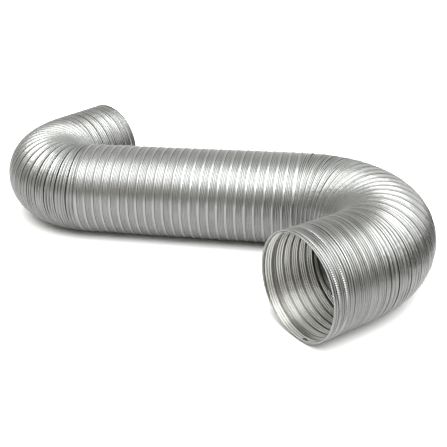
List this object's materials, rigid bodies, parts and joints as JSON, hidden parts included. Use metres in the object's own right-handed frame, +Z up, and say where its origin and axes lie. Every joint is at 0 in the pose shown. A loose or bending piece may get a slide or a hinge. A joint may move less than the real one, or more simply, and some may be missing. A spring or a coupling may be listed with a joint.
{
  "type": "flexible air duct",
  "caption": "Semi-rigid corrugated metal air duct, spirally wound with folded lock seams, lying in an S with two open round mouths.",
  "frame": {"origin": "floor level, under the middle of the duct's box", "axes": "+X along the straight middle run towards the front bend, +Z up, the front mouth on the -Y side"},
  "size_m": [0.5394, 0.4474, 0.1066],
  "materials": {
    "lock_seam": "mill-finish aluminium, folded four layers thick, bright",
    "corrugated_strip": "mill-finish aluminium foil, fine rolled corrugations"
  },
  "bodies": {
    "middle": {"middle_hoop": "lock_seam", "front_run_web_1": "corrugated_strip", "rear_run_web_1": "corrugated_strip"},
    "front_run_1": {"front_run_hoop_1": "lock_seam", "front_run_web_2": "corrugated_strip"},
    "front_run_2": {"front_run_hoop_2": "lock_seam", "front_run_web_3": "corrugated_strip"},
    "front_run_3": {"front_run_hoop_3": "lock_seam", "front_bend_web_1": "corrugated_strip"},
    "front_bend_1": {"front_bend_hoop_1": "lock_seam", "front_bend_web_2": "corrugated_strip"},
    "front_bend_2": {"front_bend_hoop_2": "lock_seam", "front_bend_web_3": "corrugated_strip"},
    "front_bend_3": {"front_bend_hoop_3": "lock_seam", "front_bend_web_4": "corrugated_strip"},
    "front_bend_4": {"front_bend_hoop_4": "lock_seam", "front_bend_web_5": "corrugated_strip"},
    "front_bend_5": {"front_bend_hoop_5": "lock_seam", "front_bend_web_6": "corrugated_strip"},
    "front_bend_6": {"front_bend_hoop_6": "lock_seam", "front_bend_web_7": "corrugated_strip"},
    "front_bend_7": {"front_bend_hoop_7": "lock_seam", "front_bend_web_8": "corrugated_strip"},
    "front_bend_8": {"front_bend_hoop_8": "lock_seam", "front_bend_web_9": "corrugated_strip"},
    "front_bend_9": {"front_bend_hoop_9": "lock_seam", "front_bend_web_10": "corrugated_strip"},
    "front_bend_10": {"front_bend_hoop_10": "lock_seam", "front_arm_web_1": "corrugated_strip"},
    "front_arm_1": {"front_arm_hoop_1": "lock_seam", "front_arm_web_2": "corrugated_strip"},
    "front_mouth": {"front_mouth_cuff": "lock_seam"},
    "rear_run_1": {"rear_run_hoop_1": "lock_seam", "rear_run_web_2": "corrugated_strip"},
    "rear_run_2": {"rear_run_hoop_2": "lock_seam", "rear_run_web_3": "corrugated_strip"},
    "rear_run_3": {"rear_run_hoop_3": "lock_seam", "rear_bend_web_1": "corrugated_strip"},
    "rear_bend_1": {"rear_bend_hoop_1": "lock_seam", "rear_bend_web_2": "corrugated_strip"},
    "rear_bend_2": {"rear_bend_hoop_2": "lock_seam", "rear_bend_web_3": "corrugated_strip"},
    "rear_bend_3": {"rear_bend_hoop_3": "lock_seam", "rear_bend_web_4": "corrugated_strip"},
    "rear_bend_4": {"rear_bend_hoop_4": "lock_seam", "rear_bend_web_5": "corrugated_strip"},
    "rear_bend_5": {"rear_bend_hoop_5": "lock_seam", "rear_bend_web_6": "corrugated_strip"},
    "rear_bend_6": {"rear_bend_hoop_6": "lock_seam", "rear_bend_web_7": "corrugated_strip"},
    "rear_bend_7": {"rear_bend_hoop_7": "lock_seam", "rear_bend_web_8": "corrugated_strip"},
    "rear_bend_8": {"rear_bend_hoop_8": "lock_seam", "rear_bend_web_9": "corrugated_strip"},
    "rear_bend_9": {"rear_bend_hoop_9": "lock_seam", "rear_arm_web_1": "corrugated_strip"},
    "rear_arm_1": {"rear_arm_hoop_1": "lock_seam", "rear_arm_web_2": "corrugated_strip"},
    "rear_mouth": {"rear_mouth_cuff": "lock_seam"}
  },
  "joints": [
    {"name": "front_run_stretch_1", "type": "slide", "parent": "middle", "child": "front_run_1", "axis": [1, 0, 0], "range_m": [-0.02, 0.019], "deforming": ["front_run_web_1"]},
    {"name": "front_run_stretch_2", "type": "slide", "parent": "front_run_1", "child": "front_run_2", "axis": [1, 0, 0], "range_m": [-0.02, 0.019], "deforming": ["front_run_web_2"]},
    {"name": "front_run_stretch_3", "type": "slide", "parent": "front_run_2", "child": "front_run_3", "axis": [1, 0, 0], "range_m": [-0.02, 0.019], "deforming": ["front_run_web_3"]},
    {"name": "front_bend_1", "type": "hinge", "parent": "front_run_3", "child": "front_bend_1", "pos_m": [0.13018, 0.0201, 0.0533], "axis": [0, 0, 1], "range_deg": [0, 13.4], "deforming": ["front_bend_web_1"]},
    {"name": "front_bend_2", "type": "hinge", "parent": "front_bend_1", "child": "front_bend_2", "pos_m": [0.15237, 0.01514, 0.0533], "axis": [0, 0, 1], "range_deg": [0, 13.4], "deforming": ["front_bend_web_2"]},
    {"name": "front_bend_3", "type": "hinge", "parent": "front_bend_2", "child": "front_bend_3", "pos_m": [0.17278, 0.00511, 0.0533], "axis": [0, 0, 1], "range_deg": [0, 13.4], "deforming": ["front_bend_web_3"]},
    {"name": "front_bend_4", "type": "hinge", "parent": "front_bend_3", "child": "front_bend_4", "pos_m": [0.19025, -0.00945, 0.0533], "axis": [0, 0, 1], "range_deg": [0, 13.4], "deforming": ["front_bend_web_4"]},
    {"name": "front_bend_5", "type": "hinge", "parent": "front_bend_4", "child": "front_bend_5", "pos_m": [0.2038, -0.0277, 0.0533], "axis": [0, 0, 1], "range_deg": [0, 13.4], "deforming": ["front_bend_web_5"]},
    {"name": "front_bend_6", "type": "hinge", "parent": "front_bend_5", "child": "front_bend_6", "pos_m": [0.21269, -0.04863, 0.0533], "axis": [0, 0, 1], "range_deg": [0, 13.4], "deforming": ["front_bend_web_6"]},
    {"name": "front_bend_7", "type": "hinge", "parent": "front_bend_6", "child": "front_bend_7", "pos_m": [0.2164, -0.07107, 0.0533], "axis": [0, 0, 1], "range_deg": [0, 13.4], "deforming": ["front_bend_web_7"]},
    {"name": "front_bend_8", "type": "hinge", "parent": "front_bend_7", "child": "front_bend_8", "pos_m": [0.21473, -0.09374, 0.0533], "axis": [0, 0, 1], "range_deg": [0, 13.4], "deforming": ["front_bend_web_8"]},
    {"name": "front_bend_9", "type": "hinge", "parent": "front_bend_8", "child": "front_bend_9", "pos_m": [0.20778, -0.11539, 0.0533], "axis": [0, 0, 1], "range_deg": [0, 13.4], "deforming": ["front_bend_web_9"]},
    {"name": "front_bend_10", "type": "hinge", "parent": "front_bend_9", "child": "front_bend_10", "pos_m": [0.19593, -0.1348, 0.0533], "axis": [0, 0, 1], "range_deg": [0, 13.4], "deforming": ["front_bend_web_10"]},
    {"name": "front_arm_lift_1", "type": "hinge", "parent": "front_bend_10", "child": "front_arm_1", "pos_m": [0.18212, -0.1498, 0.0533], "axis": [-0.7193, 0.6947, 0], "range_deg": [0, 12], "deforming": ["front_arm_web_1"]},
    {"name": "front_arm_lift_2", "type": "hinge", "parent": "front_arm_1", "child": "front_mouth", "pos_m": [0.16962, -0.16275, 0.0533], "axis": [-0.7193, 0.6947, 0], "range_deg": [0, 12], "deforming": ["front_arm_web_2"]},
    {"name": "rear_run_stretch_1", "type": "slide", "parent": "middle", "child": "rear_run_1", "axis": [-1, 0, 0], "range_m": [-0.02, 0.019], "deforming": ["rear_run_web_1"]},
    {"name": "rear_run_stretch_2", "type": "slide", "parent": "rear_run_1", "child": "rear_run_2", "axis": [-1, 0, 0], "range_m": [-0.02, 0.019], "deforming": ["rear_run_web_2"]},
    {"name": "rear_run_stretch_3", "type": "slide", "parent": "rear_run_2", "child": "rear_run_3", "axis": [-1, 0, 0], "range_m": [-0.02, 0.019], "deforming": ["rear_run_web_3"]},
    {"name": "rear_bend_1", "type": "hinge", "parent": "rear_run_3", "child": "rear_bend_1", "pos_m": [-0.14123, 0.02095, 0.0533], "axis": [0, 0, 1], "range_deg": [0, 12.78], "deforming": ["rear_bend_web_1"]},
    {"name": "rear_bend_2", "type": "hinge", "parent": "rear_bend_1", "child": "rear_bend_2", "pos_m": [-0.15968, 0.02482, 0.0533], "axis": [0, 0, 1], "range_deg": [0, 12.78], "deforming": ["rear_bend_web_2"]},
    {"name": "rear_bend_3", "type": "hinge", "parent": "rear_bend_2", "child": "rear_bend_3", "pos_m": [-0.17677, 0.03276, 0.0533], "axis": [0, 0, 1], "range_deg": [0, 12.78], "deforming": ["rear_bend_web_3"]},
    {"name": "rear_bend_4", "type": "hinge", "parent": "rear_bend_3", "child": "rear_bend_4", "pos_m": [-0.19164, 0.04435, 0.0533], "axis": [0, 0, 1], "range_deg": [0, 12.78], "deforming": ["rear_bend_web_4"]},
    {"name": "rear_bend_5", "type": "hinge", "parent": "rear_bend_4", "child": "rear_bend_5", "pos_m": [-0.2035, 0.05899, 0.0533], "axis": [0, 0, 1], "range_deg": [0, 12.78], "deforming": ["rear_bend_web_5"]},
    {"name": "rear_bend_6", "type": "hinge", "parent": "rear_bend_5", "child": "rear_bend_6", "pos_m": [-0.21176, 0.07593, 0.0533], "axis": [0, 0, 1], "range_deg": [0, 12.78], "deforming": ["rear_bend_web_6"]},
    {"name": "rear_bend_7", "type": "hinge", "parent": "rear_bend_6", "child": "rear_bend_7", "pos_m": [-0.21598, 0.0943, 0.0533], "axis": [0, 0, 1], "range_deg": [0, 12.78], "deforming": ["rear_bend_web_7"]},
    {"name": "rear_bend_8", "type": "hinge", "parent": "rear_bend_7", "child": "rear_bend_8", "pos_m": [-0.21595, 0.11315, 0.0533], "axis": [0, 0, 1], "range_deg": [0, 12.78], "deforming": ["rear_bend_web_8"]},
    {"name": "rear_bend_9", "type": "hinge", "parent": "rear_bend_8", "child": "rear_bend_9", "pos_m": [-0.21166, 0.1315, 0.0533], "axis": [0, 0, 1], "range_deg": [0, 12.78], "deforming": ["rear_bend_web_9"]},
    {"name": "rear_arm_lift_1", "type": "hinge", "parent": "rear_bend_9", "child": "rear_arm_1", "pos_m": [-0.20283, 0.15131, 0.0533], "axis": [0.9063, -0.4226, 0], "range_deg": [0, 10], "deforming": ["rear_arm_web_1"]},
    {"name": "rear_arm_lift_2", "type": "hinge", "parent": "rear_arm_1", "child": "rear_mouth", "pos_m": [-0.19247, 0.17351, 0.0533], "axis": [0.9063, -0.4226, 0], "range_deg": [0, 10], "deforming": ["rear_arm_web_2"]}
  ],
  "couplings": [
    {"joint": "front_run_stretch_2", "follows": "front_run_stretch_1", "ratio": 1},
    {"joint": "front_run_stretch_3", "follows": "front_run_stretch_1", "ratio": 1},
    {"joint": "front_bend_2", "follows": "front_bend_1", "ratio": 1},
    {"joint": "front_bend_3", "follows": "front_bend_1", "ratio": 1},
    {"joint": "front_bend_4", "follows": "front_bend_1", "ratio": 1},
    {"joint": "front_bend_5", "follows": "front_bend_1", "ratio": 1},
    {"joint": "front_bend_6", "follows": "front_bend_1", "ratio": 1},
    {"joint": "front_bend_7", "follows": "front_bend_1", "ratio": 1},
    {"joint": "front_bend_8", "follows": "front_bend_1", "ratio": 1},
    {"joint": "front_bend_9", "follows": "front_bend_1", "ratio": 1},
    {"joint": "front_bend_10", "follows": "front_bend_1", "ratio": 1},
    {"joint": "front_arm_lift_2", "follows": "front_arm_lift_1", "ratio": 1},
    {"joint": "rear_run_stretch_1", "follows": "front_run_stretch_1", "ratio": 1},
    {"joint": "rear_run_stretch_2", "follows": "front_run_stretch_1", "ratio": 1},
    {"joint": "rear_run_stretch_3", "follows": "front_run_stretch_1", "ratio": 1},
    {"joint": "rear_bend_2", "follows": "rear_bend_1", "ratio": 1},
    {"joint": "rear_bend_3", "follows": "rear_bend_1", "ratio": 1},
    {"joint": "rear_bend_4", "follows": "rear_bend_1", "ratio": 1},
    {"joint": "rear_bend_5", "follows": "rear_bend_1", "ratio": 1},
    {"joint": "rear_bend_6", "follows": "rear_bend_1", "ratio": 1},
    {"joint": "rear_bend_7", "follows": "rear_bend_1", "ratio": 1},
    {"joint": "rear_bend_8", "follows": "rear_bend_1", "ratio": 1},
    {"joint": "rear_bend_9", "follows": "rear_bend_1", "ratio": 1},
    {"joint": "rear_arm_lift_2", "follows": "rear_arm_lift_1", "ratio": 1}
  ]
}
